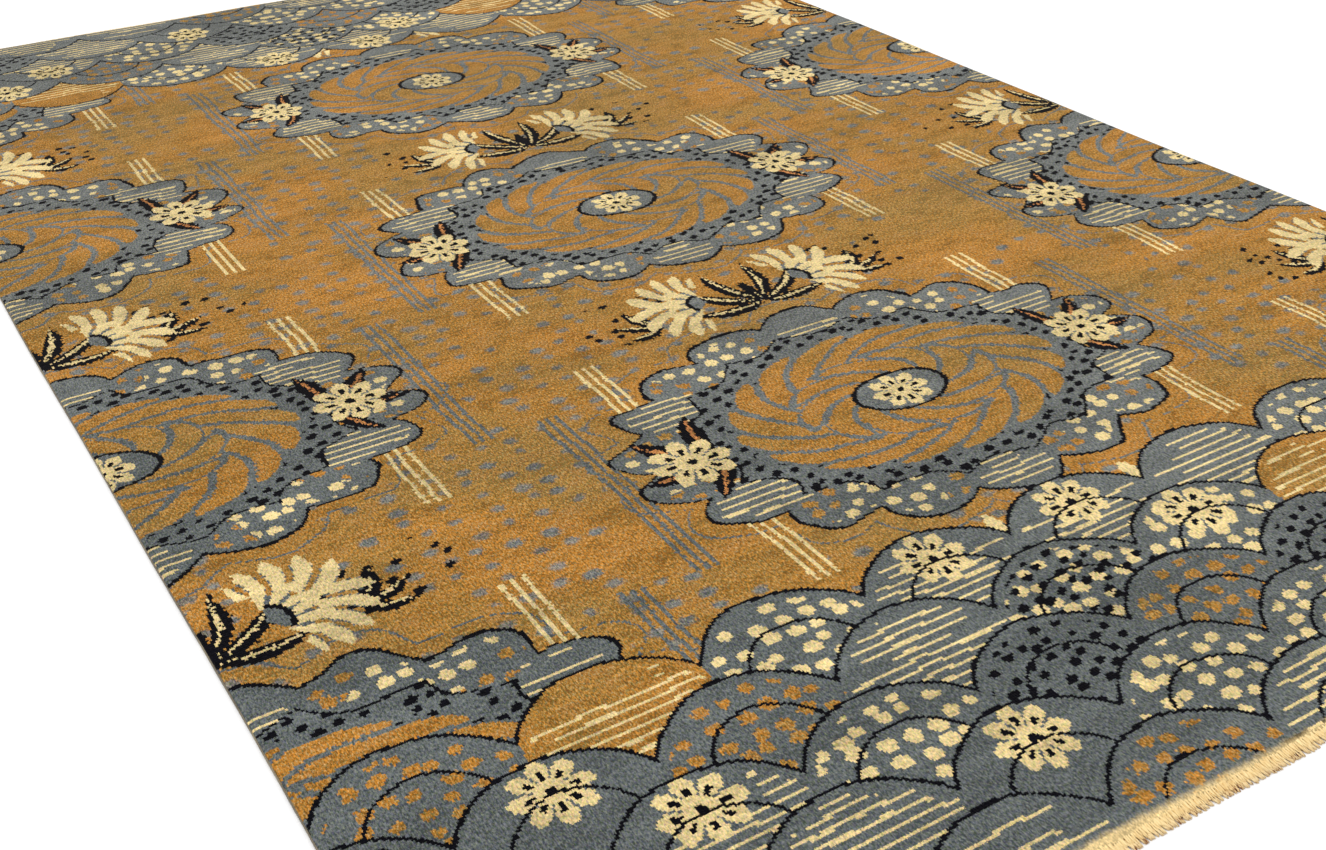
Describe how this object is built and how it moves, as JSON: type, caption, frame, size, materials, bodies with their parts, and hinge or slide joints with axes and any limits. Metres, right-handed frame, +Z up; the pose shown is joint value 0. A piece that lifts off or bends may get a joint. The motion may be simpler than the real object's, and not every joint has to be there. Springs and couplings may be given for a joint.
{
  "type": "turkish art deco rug",
  "caption": "Flat rectangular hand-knotted wool rug with overcast long sides and a short fringed strip at each end, to lie on a floor.",
  "frame": {"origin": "centre of the underside, on the floor that the rug lies on", "axes": "+X across the rug, +Y along it towards the far end, +Z up out of the pile"},
  "size_m": [2.05, 3.2, 0.0086],
  "materials": {
    "wool_pile": "clipped wool pile, golden brown ground with slate blue, navy and cream",
    "overcast_cord": "grey-brown wool overcasting",
    "warp_cotton": "cream warp yarn, flat woven and twisted"
  },
  "bodies": {
    "root": {"pile_field": "wool_pile", "side_cord_left": "overcast_cord", "side_cord_right": "overcast_cord", "fringe_near": "warp_cotton", "fringe_far": "warp_cotton"}
  },
  "joints": []
}
